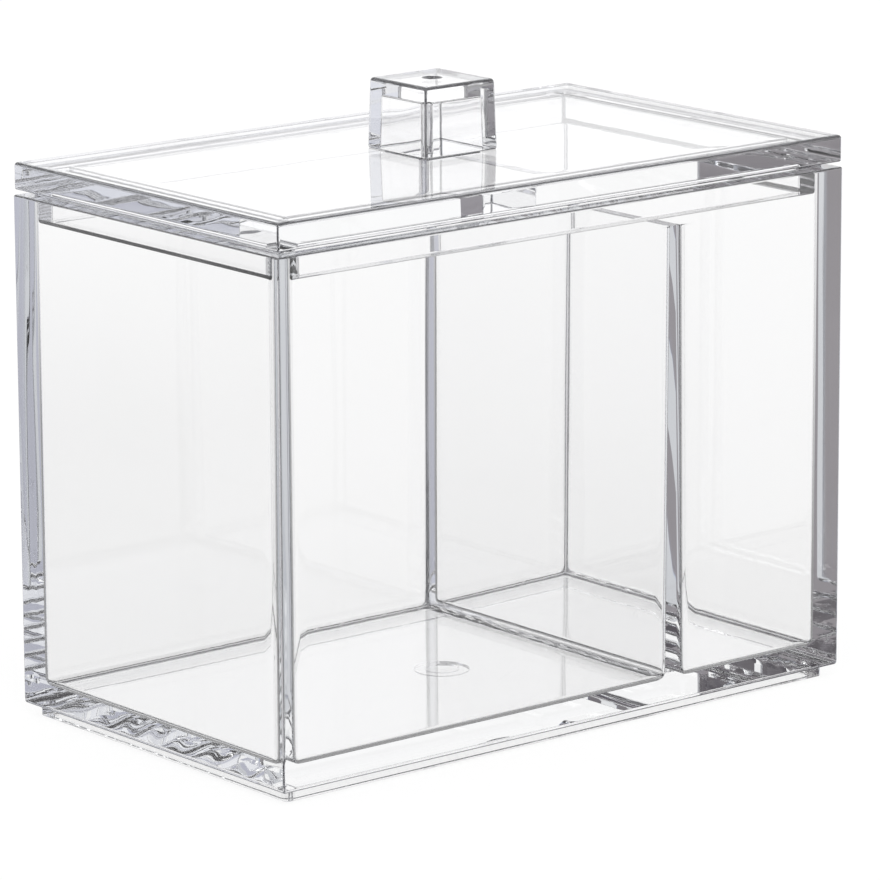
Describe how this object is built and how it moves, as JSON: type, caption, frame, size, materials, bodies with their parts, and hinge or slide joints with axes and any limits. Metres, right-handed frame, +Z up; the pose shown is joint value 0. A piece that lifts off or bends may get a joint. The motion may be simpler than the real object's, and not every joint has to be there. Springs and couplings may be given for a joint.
{
  "type": "cotton swab holder",
  "caption": "Clear thick-walled plastic box with an off-centre divider, a foot ring, a lift-off lid and a hollow square knob over an opening in the lid, for cotton swabs and pads.",
  "frame": {"origin": "centre of the foot ring's underside, on the surface the holder stands on", "axes": "+X along the long side towards the narrow compartment, +Y from the front face to the back, +Z up"},
  "size_m": [0.1654, 0.0976, 0.1458],
  "materials": {
    "container": "clear, polished, injection moulded",
    "lid": "clear, polished, injection moulded",
    "knob": "clear, polished, injection moulded"
  },
  "bodies": {
    "container": {"container": "container"},
    "lid": {"lid": "lid", "knob": "knob"}
  },
  "joints": [
    {"name": "lid_lift", "type": "slide", "parent": "container", "child": "lid", "axis": [0, 0, 1], "range_m": [0, 0.08]}
  ]
}
